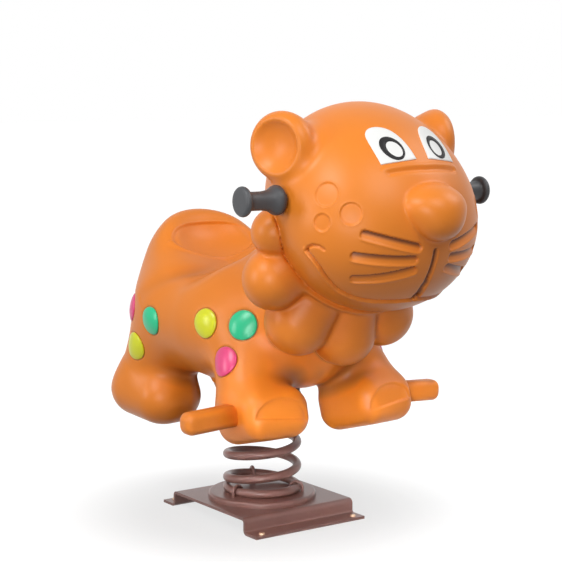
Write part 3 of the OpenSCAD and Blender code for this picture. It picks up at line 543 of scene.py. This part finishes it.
def body_relief(p):
    gap, low = seat_gap(p), local(p, *SEAT)[1] < 0
    ridge = np.where(low, RIDGE_LOW, RIDGE_HIGH) * bell(gap - RIDGE_AT, RIDGE_WIDTH)
    return (-TOE_DEPTH * press(toe_gap(p), TOE_SOFT) - SEAT_PRESS * press(gap, SEAT_SOFT) + ridge
        - TROUGH_DEPTH * trough(p) - SPOT_GROOVE * spot_groove(p))


def body_detail(p):
    steps = (np.abs(toe_gap(p)) < STEP_NEAR) | (np.abs(seat_gap(p)) < STEP_NEAR)
    return steps | (np.abs(spot_gap(p)) < SPOT_NEAR)


body_points, body_faces = surface_net(body_form, BODY_LOW, BODY_HIGH, BODY_CELL)
body_points, body_faces = refined(body_points, body_faces, body_form, body_detail)
body_normals = unit(gradient(body_points, body_form))
# painted shade: spot grooves, seat troughs and sheltered corners darken the base colour
body_painted_shade = np.clip(SPOT_PAINTED_SHADE * spot_groove(body_points) + TROUGH_PAINTED_SHADE * trough(body_points)
    + occlusion(body_points, body_normals), 0, MOST_BODY_PAINTED_SHADE)
body_points = body_points + body_normals * body_relief(body_points)[:, None]
piece("body_skin", body_points, body_faces, "orange_plastic", "rider", ["body_shell"], body_painted_shade)

# %% [markdown]
# ## Head skin
# The face is drawn in the skin too: three whisker grooves on each cheek, each deepest at its upper edge,
# three round presses, the mouth with its raised lower lip, the groove below the nose, and a soft fold
# over it. Each is a path on the skin with a profile across it.

# %% Head details
CHEEKS = [((-150, -395, 618), 19.5), ((-131, -433, 589), 17.5), ((-160, -396, 574), 14)]
WHISKERS = [((-116, -450, 556), (-36, -482, 534)), ((-124, -435, 521), (-39, -477, 514)),
    ((-113, -421, 484), (-36, -470, 497))]
MOUTH = [(-165, -364, 528), (-159, -372, 517), (-150, -379, 502), (-137, -381, 484), (-119, -385, 465),
    (-99, -393, 454), (-76, -406, 447), (-50, -420, 445), (-20, -430, 445), (0, -433, 446)]
CURL = [(-165, -364, 528), (-166, -368, 533), (-164, -378, 537), (-160, -389, 536), (-155, -396, 531)]
PHILTRUM = [(0, -484, 527), (0, -480, 513), (0, -470, 490), (0, -454, 467), (0, -435, 448)]
BROW = [(-65, -449, 651), (-50, -453, 653), (-28, -457, 655), (0, -459, 655)]
CHEEK_DEPTH, CHEEK_SOFT, CHEEK_RIM, CHEEK_RIM_AT, CHEEK_RIM_WIDTH = 2.2, 1.1, 0.5, 1.2, 1.5
WHISKER_HALF, WHISKER_SOFT, WHISKER_DEPTH, WHISKER_TILT = 7.5, 1.0, 4.0, 0.42
WHISKER_LIP, WHISKER_LIP_AT, WHISKER_LIP_WIDTH, WHISKER_LIP_END, WHISKER_LIP_SOFT = 1.0, -9.5, 2.2, 11, 2
MOUTH_DEPTH, MOUTH_WIDTH, LIP_HEIGHT, LIP_AT, CURL_DEPTH, CURL_WIDTH = 5.6, 2.2, 2.6, 5.6, 4.0, 2.0
PHILTRUM_DEPTH, PHILTRUM_HALF, PHILTRUM_SOFT = 8.0, 4.2, 1.5
FLARE, FLARE_TOP, FLARE_LENGTH = 0.09, 490, 45
BROW_DEPTH, BROW_WIDTH, FOLD_HEIGHT, FOLD_AT, FOLD_WIDTH, FOLD_END, FOLD_SOFT = 2.4, 4.5, 1.6, 8, 5, 14, 4
SAME_SIDE = 25


def along(p, normal, path):
    path = np.float32(path)
    best, side = np.full(len(p), 1e6), np.zeros(len(p))
    for a, b in zip(path[:-1], path[1:]):
        t = np.clip((p - a) @ (b - a) / ((b - a) @ (b - a)), 0, 1)
        q = p - a - t[:, None] * (b - a)
        rise = (q * normal).sum(1)
        flat = np.maximum((q * q).sum(1) - rise ** 2, 0)
        d = np.sqrt(flat + np.maximum(np.abs(rise) - SAME_SIDE, 0) ** 2)
        up = unit(np.cross(normal, b - a))
        side = np.where(d < best, (q * up).sum(1), side)
        best = np.minimum(best, d)
    return best, side


def face_relief(p, normal):
    q = near_side(p)
    n = normal * np.stack([np.where(p[:, 0] > 0, -1, 1), np.ones(len(p)), np.ones(len(p))], 1)
    lift = np.zeros(len(p))
    for middle, r in CHEEKS:
        d = np.sqrt(((q - np.float32(middle)) ** 2).sum(1)) - r
        lift += CHEEK_RIM * bell(d - CHEEK_RIM_AT, CHEEK_RIM_WIDTH) - CHEEK_DEPTH * press(d, CHEEK_SOFT)
    for path in WHISKERS:
        d, s = along(q, n, path)
        lip = bell(s - WHISKER_LIP_AT, WHISKER_LIP_WIDTH) * press(d - WHISKER_LIP_END, WHISKER_LIP_SOFT)
        groove = (WHISKER_DEPTH + WHISKER_TILT * s) * press(d - WHISKER_HALF, WHISKER_SOFT)
        lift += WHISKER_LIP * lip - groove
    d, s = along(q, n, MOUTH)
    lift += LIP_HEIGHT * bell(d - LIP_AT, MOUTH_WIDTH) * (s < 0) - MOUTH_DEPTH * bell(d, MOUTH_WIDTH)
    lift -= CURL_DEPTH * bell(along(q, n, CURL)[0], CURL_WIDTH)
    half = PHILTRUM_HALF + FLARE * np.clip(FLARE_TOP - q[:, 2], 0, FLARE_LENGTH)
    lift -= PHILTRUM_DEPTH * press(along(q, n, PHILTRUM)[0] - half, PHILTRUM_SOFT)
    d, s = along(q, n, BROW)
    fold = bell(s - FOLD_AT, FOLD_WIDTH) * press(d - FOLD_END, FOLD_SOFT)
    return lift + FOLD_HEIGHT * fold - BROW_DEPTH * bell(d, BROW_WIDTH)


print("whiskers and presses on each cheek", len(WHISKERS), len(CHEEKS))

# %% [markdown]
# ### Head mesh
# The net is made finer only near the drawn lines. The groove attribute holds painted shade: it follows the
# depth of the relief and how sheltered each point is, so that the deep upper walls of whiskers, mouth and
# nose groove turn dark.

# %% Head skin
LINES = [(MOUTH, 14), (CURL, 9), (PHILTRUM, 12), (BROW, 14)] + [(path, 14) for path in WHISKERS]
LINES += [([middle, middle + np.float32(1)], r + 5) for middle, r in CHEEKS]
HEAD_LOW, HEAD_HIGH, HEAD_CELL = (-226, -546, 290), (226, -96, 780), 3.4
# relief depth where painted shade starts and over which it grows, and the most painted shade on the head
PAINTED_SHADE_FROM, PAINTED_SHADE_RANGE, MOST_HEAD_PAINTED_SHADE = 3.4, 3.2, 0.85


def face_detail(p):
    q, n = near_side(p), np.tile(np.float32((0, -1, 0)), (len(p), 1))
    return np.any([along(q, n, path)[0] < reach for path, reach in LINES], 0)


head_points, head_faces = surface_net(head_form, HEAD_LOW, HEAD_HIGH, HEAD_CELL)
head_points, head_faces = refined(head_points, head_faces, head_form, face_detail)
head_normals = unit(gradient(head_points, head_form))
relief = face_relief(head_points, head_normals)
# painted shade: deep relief and sheltered corners darken the base colour
head_painted_shade = (-PAINTED_SHADE_FROM - relief) / PAINTED_SHADE_RANGE + occlusion(head_points, head_normals)
head_painted_shade = np.clip(head_painted_shade, 0, MOST_HEAD_PAINTED_SHADE)
head_points = head_points + head_normals * relief[:, None]
piece("head_skin", head_points, head_faces, "orange_plastic", "rider", ["head_shell"], head_painted_shade)

# %% [markdown]
# ## Caps on the skin
# Spots and eyes are thin caps that follow the skin. An outline on a flat disc is dropped on to the skin
# along one direction, ring by ring, and each ring stands off by its own height, which makes the dome.

# %% Cap helper
def cap_mesh(form, middle, out, across, up, rows, loop=False):
    points, faces, n = [], [], len(rows[0][0])
    for outline, height in rows:
        flat = np.float32(middle) + outline[:, :1] * across + outline[:, 1:] * up
        skin = drop(np.float32(flat), np.float32(out), form)
        points.append(skin + unit(gradient(skin, form)) * height)
    count = len(rows)
    for r in range(count if loop else count - 1):
        a, b = r * n, (r + 1) % count * n
        faces += [(a + i, b + i, b + (i + 1) % n, a + (i + 1) % n) for i in range(n)]
    if not loop:
        faces += [tuple(range(n)), tuple(range((count - 1) * n, count * n))[::-1]]
    return np.concatenate(points), faces


def join(parts):
    points, faces, first = [], [], 0
    for p, f in parts:
        points.append(p)
        faces += [tuple(first + i for i in face) for face in f]
        first += len(p)
    return np.concatenate(points), faces


def mirrored(part):
    return part[0] * np.float32([-1, 1, 1]), [face[::-1] for face in part[1]]


def circle(r, n=48):
    a = np.arange(n) * 2 * math.pi / n
    return np.stack([r * np.cos(a), r * np.sin(a)], 1)


print("cap helper ready")

# %% Spots
DOME = [(0.04, 6.0), (0.2, 5.85), (0.4, 5.3), (0.6, 4.35), (0.78, 3.1), (0.9, 2.0), (0.96, 1.3),
    (0.99, 0.7), (1.0, 0.1), (1.0, -2.2), (0.5, -3), (0.04, -3)]
spot_rows = [(circle(SPOT_RADIUS * share), height) for share, height in DOME]
for colour, places in SPOTS.items():
    caps = []
    for place in places:
        middle = spot_middle(*place)
        out = unit(gradient(middle[None], body_form))[0]
        across = unit(np.cross((0, 0, 1), out))
        caps.append(cap_mesh(body_form, middle, out, across, np.cross(out, across), spot_rows))
    piece("spots_" + colour + "_caps", *join(caps + [mirrored(c) for c in caps]), colour + "_plastic",
        "rider", ["spots_" + colour])

# %% [markdown]
# ### Eyes
# White panels with two sharp lower corners, and a dark ring on each. The ring's inner oval sits off
# centre, which makes the ring thicker on one side.

# %% Eyes
HEAD_SIZE = 320
EYE = HEAD_SIZE * np.float32([(0.097, -0.065), (0.101, 0.03), (0.096, 0.105), (0.086, 0.143), (0.05, 0.174),
    (-0.002, 0.167), (-0.046, 0.132), (-0.07, 0.074), (-0.086, 0.012), (-0.095, -0.068), (-0.021, -0.072),
    (0.043, -0.069)])
EYE_CORNERS = (0, 9)
EYE_MIDDLE, EYE_OUT = np.float32((-42.9, -432, 686)), np.float32((0, -0.799, 0.602))
EYE_ACROSS, EYE_UP = np.float32((-1, 0, 0)), np.float32((0, 0.602, 0.799))
PANEL = [(0.03, 1.7), (0.3, 1.7), (0.6, 1.7), (0.85, 1.7), (0.97, 1.65), (1.0, 1.1), (1.0, -1.5), (0.5, -2),
    (0.03, -2)]
RING_OUTER, RING_INNER, RING_TILT = ((17.9, 24.6), (1.9, 4.2)), ((11.8, 16.3), (-0.6, 1.6)), -11
RING_FOOT, RING_EDGE, RING_TOP = 1.2, 2.1, 2.3


def rounded_outline(points, sharp, times=3):
    keep = {i % len(points) for i in sharp}
    for _ in range(times):
        made, kept = [], set()
        for i, p in enumerate(points):
            before, after = points[i - 1], points[(i + 1) % len(points)]
            made.append(p if i in keep else p * 0.75 + (before + after) * 0.125)
            if i in keep:
                kept.add(len(made) - 1)
            made.append((p + after) / 2)
        points, keep = np.float32(made), kept
    return points


def tilted_oval(half, shift, n=64):
    x, y = turned(*(circle(1, n) * half).T, -RING_TILT)
    return np.stack([x, y], 1) + shift


panel = rounded_outline(EYE, EYE_CORNERS)
panel_rows = [(panel * share, height) for share, height in PANEL]
outer, inner = tilted_oval(*RING_OUTER), tilted_oval(*RING_INNER)
ring_rows = [(inner, RING_FOOT), (inner, RING_EDGE), ((inner + outer) / 2, RING_TOP), (outer, RING_EDGE),
    (outer, RING_FOOT)]
for name, rows, slot, loop, node in (("eye_panel_caps", panel_rows, "white_plastic", False, "eye_panels"),
        ("eye_ring_caps", ring_rows, "black_plastic", True, "eye_rings")):
    near = cap_mesh(skull_form, EYE_MIDDLE, EYE_OUT, EYE_ACROSS, EYE_UP, rows, loop)
    piece(name, *join([mirrored(near), near]), slot, "rider", [node])

# %% [markdown]
# ## Grips and pegs
# A grip is turned: one profile spun about the handlebar, with a rounded disc at each end and a flare
# into the inner one. A peg is a rounded square bar with a round end.

# %% Grips
GRIP_Y, GRIP_Z = -309.0, 605.0
GRIP_END, GRIP_ROOT = (1000 * end.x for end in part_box("grip_right"))
OUTER = [(0, 0.5), (0, 12), (0, 18.5), (0.5, 20.6), (1.8, 22.8), (3.8, 24.1), (6, 24.5), (8.4, 24.1),
    (10.4, 22.8), (11.8, 20.6), (12.6, 18), (13.8, 16.5), (16, 15.7), (24, 15.3), (40, 15.3)]
INNER = [(-32, 15.9), (-24, 17.2), (-19, 19.2), (-15.5, 21.6), (-12.5, 23.4), (-9, 24.4), (-6.5, 24.5),
    (-4, 24), (-1.8, 22.6), (-0.5, 20.5), (0, 18), (0, 0.5)]
PROFILE = [(GRIP_END + x, r) for x, r in OUTER] + [(GRIP_ROOT + x, r) for x, r in INNER]
GRIP_SIDES = 56


def lathe(rings):
    n, last = len(rings[0]), (len(rings) - 1) * len(rings[0])
    faces = [(r * n + i, r * n + (i + 1) % n, (r + 1) * n + (i + 1) % n, (r + 1) * n + i)
        for r in range(len(rings) - 1) for i in range(n)]
    return np.concatenate(rings), faces + [tuple(range(n))[::-1], tuple(range(last, last + n))]


def grip_ring(x, r):
    y, z = r * circle(1, GRIP_SIDES).T
    return np.stack([np.full(GRIP_SIDES, x), GRIP_Y + y, GRIP_Z + z], 1)


grip = lathe([grip_ring(x, r) for x, r in PROFILE])
piece("grip_right_turned", *grip, "grip_rubber", "rider", ["grip_right"])
piece("grip_left_turned", *mirrored(grip), "grip_rubber", "rider", ["grip_left"])

# %% Pegs
PEG_FACE, PEG_DROOP, PEG_OUT, PEG_IN = np.float32((-178.3, -168.0, 231.0)), math.radians(3), 98.0, 11.5
PEG_HALF, PEG_CORNER, PEG_NOSE, PEG_STRAIGHT = 19.0, 13.0, 14.0, 40
PEG_NOSE_STEPS, CORNER_SHARE, LEAST_CORNER = 10, 0.6, 3.0
PEG_AXIS = np.float32((-math.cos(PEG_DROOP), 0, -math.sin(PEG_DROOP)))
PEG_UP = np.float32((-math.sin(PEG_DROOP), 0, math.cos(PEG_DROOP)))


def rounded_square(half, corner, n=8):
    a = np.linspace(0, math.pi / 2, n)
    quarter = np.stack([half - corner + corner * np.cos(a), half - corner + corner * np.sin(a)], 1)
    turns = [((1, 0), (0, 1)), ((0, -1), (1, 0)), ((-1, 0), (0, -1)), ((0, 1), (-1, 0))]
    return np.concatenate([quarter @ np.float32(m).T for m in turns])


def peg_ring(reach, inset):
    ring = rounded_square(PEG_HALF - inset, max(PEG_CORNER - inset * CORNER_SHARE, LEAST_CORNER))
    return PEG_FACE + reach * PEG_AXIS + ring[:, :1] * np.float32((0, 1, 0)) + ring[:, 1:] * PEG_UP


peg_rows = [(PEG_OUT - PEG_NOSE * (1 - math.cos(a)), PEG_NOSE * (1 - math.sin(a)))
    for a in np.linspace(0, math.pi / 2, PEG_NOSE_STEPS)] + [(PEG_OUT - PEG_STRAIGHT, 0), (-PEG_IN, 0)]
peg = lathe([peg_ring(reach, inset) for reach, inset in peg_rows])
piece("peg_right_bar", *peg, "orange_plastic", "rider", ["peg_right"])
piece("peg_left_bar", *mirrored(peg), "orange_plastic", "rider", ["peg_left"])

# %% [markdown]
# ## Anchor studs
# The plate is held down by four plain studs in its anchor holes. Only their ends show above the flange,
# so each is a turned stub with a small chamfer, spun from a short profile.

# %% Anchor studs
ANCHOR_X, ANCHOR_Y = 101.0, 145.0
STUD = [(0.5, 0.5), (0.5, 5.3), (7.4, 5.3), (8.0, 4.7), (8.0, 0.5)]
STUD_SIDES = 32


def stud_ring(x, y, z, r):
    u, v = r * circle(1, STUD_SIDES).T
    return np.stack([x + u, y + v, np.full(STUD_SIDES, z)], 1)


corners = [(x, y) for x in (-ANCHOR_X, ANCHOR_X) for y in (-ANCHOR_Y, ANCHOR_Y)]
studs = [lathe([stud_ring(x, y, z, r) for z, r in STUD]) for x, y in corners]
piece("anchor_studs", *join(studs), "insert_brass", "base")

# %% [markdown]
# ## Spring
# A coil follows a rule, so Geometry Nodes make it: a line whose points are moved on to the helix and then
# given a round section. Its two ends lie flat for a bit more than half a turn. The lower half runs from
# the base to the coil's middle, and the upper half from there to the rider.

# %% Spring
SIZES = {"Coil radius": 0.065, "Wire radius": 0.008, "Pitch": 0.044, "Seat height": 0.0477, "Turns": 5.549,
    "Flat turns": 0.6, "Start turn": 145 / 360, "First": 0.0, "Last": 1.0}
COIL_STEPS, WIRE_SIDES, EASE = 260, 24, 0.09


def spring_tree():
    group = bpy.data.node_groups.new("coil spring", "GeometryNodeTree")
    group.interface.new_socket("Geometry", in_out="OUTPUT", socket_type="NodeSocketGeometry")
    for name in SIZES:
        group.interface.new_socket(name, in_out="INPUT", socket_type="NodeSocketFloat")
    t = Tree(group)
    entry = group.nodes.new("NodeGroupInput")
    size = {name: Value(t, entry.outputs[name]) for name in SIZES}
    line = t.node("GeometryNodeCurvePrimitiveLine")
    line = t.node("GeometryNodeResampleCurve", {"mode": "COUNT"}, {"Curve": line, "Count": COIL_STEPS})
    share = t.node("GeometryNodeSplineParameter", out="Factor")
    turn = (size["First"] + (size["Last"] - size["First"]) * share) * size["Turns"]
    low = (turn - size["Flat turns"]).math("SMOOTH_MAX", 0.0, EASE)
    high = (turn - size["Turns"] + size["Flat turns"]).math("SMOOTH_MAX", 0.0, EASE)
    angle = (turn + size["Start turn"]) * (2 * math.pi)
    place = t.node("ShaderNodeCombineXYZ", {}, {"X": angle.math("COSINE") * size["Coil radius"],
        "Y": angle.math("SINE") * size["Coil radius"],
        "Z": size["Seat height"] + (low - high) * size["Pitch"]})
    path = t.node("GeometryNodeSetPosition", {}, {"Geometry": line, "Position": place})
    ring = t.node("GeometryNodeCurvePrimitiveCircle", {},
        {"Resolution": WIRE_SIDES, "Radius": size["Wire radius"]})
    tube = t.node("GeometryNodeCurveToMesh", {}, {"Curve": path, "Profile Curve": ring, "Fill Caps": True})
    tube = t.node("GeometryNodeSetShadeSmooth", {}, {"Geometry": tube})
    tube = t.node("GeometryNodeRealizeInstances", {}, {"Geometry": tube})
    tube = t.node("GeometryNodeSetMaterial", {},
        {"Geometry": tube, "Material": FINISH["brown_painted_steel"]})
    t.node("NodeGroupOutput", {}, {"Geometry": tube})
    return group


coil_group = spring_tree()


def spring_half(name, first, last):
    host = bpy.data.objects.new("spring path", bpy.data.meshes.new("spring path"))
    scene.collection.objects.link(host)
    nodes = host.modifiers.new("coil", "NODES")
    nodes.node_group = coil_group
    for socket in coil_group.interface.items_tree:
        if socket.in_out == "INPUT":
            nodes[socket.identifier] = {**SIZES, "First": first, "Last": last}[socket.name]
    mesh = bpy.data.meshes.new_from_object(host.evaluated_get(bpy.context.evaluated_depsgraph_get()))
    bpy.data.objects.remove(host)
    mesh.name = name
    made = bpy.data.objects.new(name, mesh)
    scene.collection.objects.link(made)
    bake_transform(made)
    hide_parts("spring")
    print(name, len(mesh.vertices), "points")


spring_half("spring_lower_half", 0.0, 0.5)
spring_half("spring_upper_half", 0.5, 1.0)

# %% [markdown]
# ## Floor and light
# A studio with white paper: the camera and mirror-like surfaces see paper and sky as white, while the
# light that they cast on the object stays modest. The paper's glow is a little lower under the lion, a
# painted shadow added to the lamps' own. Turns count from the lion's nose to its right: two soft boxes and
# a low one stand on its right, a narrow one reaches its far foot, one hangs before its face, and one fills
# the far cheek.

# %% Floor and sky
FLOOR_SIZE, PAPER_TONE, PAPER_GLOW_IN_PAINTED_SHADOW, PAPER_RISE_OUT_OF_PAINTED_SHADOW = 60, 0.17, 0.72, 0.32
SHADE_RANGE = {"From Min": 0.18, "From Max": 0.5}
SKY_SEEN, SKY_CAST = 0.97, 0.03
WHITE = (1, 1, 1, 1)


def seen_white(t):
    rays = ("Is Camera Ray", "Is Glossy Ray", "Is Transmission Ray")
    seen = [t.node("ShaderNodeLightPath", out=ray) for ray in rays]
    return seen[0].math("MAXIMUM", seen[1]).math("MAXIMUM", seen[2])


bpy.ops.mesh.primitive_plane_add(size=FLOOR_SIZE)
floor = bpy.context.object
floor.name = "floor"
paper = bpy.data.materials.new("white paper floor")
paper.use_nodes = True
paper.node_tree.nodes.clear()
t = Tree(paper.node_tree)
paint = t.node("ShaderNodeBsdfDiffuse", {}, {"Color": (PAPER_TONE, PAPER_TONE, PAPER_TONE, 1)})
place = t.node("ShaderNodeTexCoord", out="Object")
reach = t.node("ShaderNodeVectorMath", {"operation": "LENGTH"}, {0: place}, out="Value")
# painted shadow: the paper's glow is lower under the lion and rises to white further out
far = t.node("ShaderNodeMapRange", {"interpolation_type": "SMOOTHSTEP"}, {"Value": reach, **SHADE_RANGE})
glow = t.node("ShaderNodeEmission", {},
    {"Color": WHITE, "Strength": seen_white(t) * (far * PAPER_RISE_OUT_OF_PAINTED_SHADOW + PAPER_GLOW_IN_PAINTED_SHADOW)})
t.node("ShaderNodeOutputMaterial", {}, {"Surface": t.node("ShaderNodeAddShader", {}, {0: paint, 1: glow})})
floor.data.materials.append(paper)

world = bpy.data.worlds.new("white studio")
scene.world = world
world.use_nodes = True
world.node_tree.nodes.clear()
t = Tree(world.node_tree)
sky = t.node("ShaderNodeBackground", {}, {"Color": WHITE, "Strength": seen_white(t) * SKY_SEEN + SKY_CAST})
t.node("ShaderNodeOutputWorld", {}, {"Surface": sky})
print("floor and sky", floor.name, world.name)

# %% Lamps
def soft_box(name, turn, lift, size, power, reach=2.8, aim=(0, -0.12, 0.42), spread=180):
    turn, lift = math.radians(turn), math.radians(lift)
    way = Vector((-math.sin(turn) * math.cos(lift), -math.cos(turn) * math.cos(lift), math.sin(lift)))
    lamp = bpy.data.lights.new(name, "AREA")
    lamp.shape, lamp.size, lamp.size_y, lamp.energy = "RECTANGLE", *size, power
    lamp.spread = math.radians(spread)
    made = bpy.data.objects.new(name, lamp)
    made.location = Vector(aim) + way * reach
    made.rotation_euler = (-way).to_track_quat("-Z", "Y").to_euler()
    scene.collection.objects.link(made)


soft_box("left high box", 80, 45, (0.9, 0.9), 29)
soft_box("left low box", 106, 12, (0.5, 1.1), 16)
soft_box("low box", 50, 9, (0.7, 0.7), 20)
soft_box("foot box", 40, 4, (0.5, 0.3), 0.45, 1.8, (0.13, -0.2, 0.12), 16)
soft_box("front box", 12, 45, (1.3, 1.3), 23)
soft_box("right box", -60, 45, (1.3, 1.3), 20)
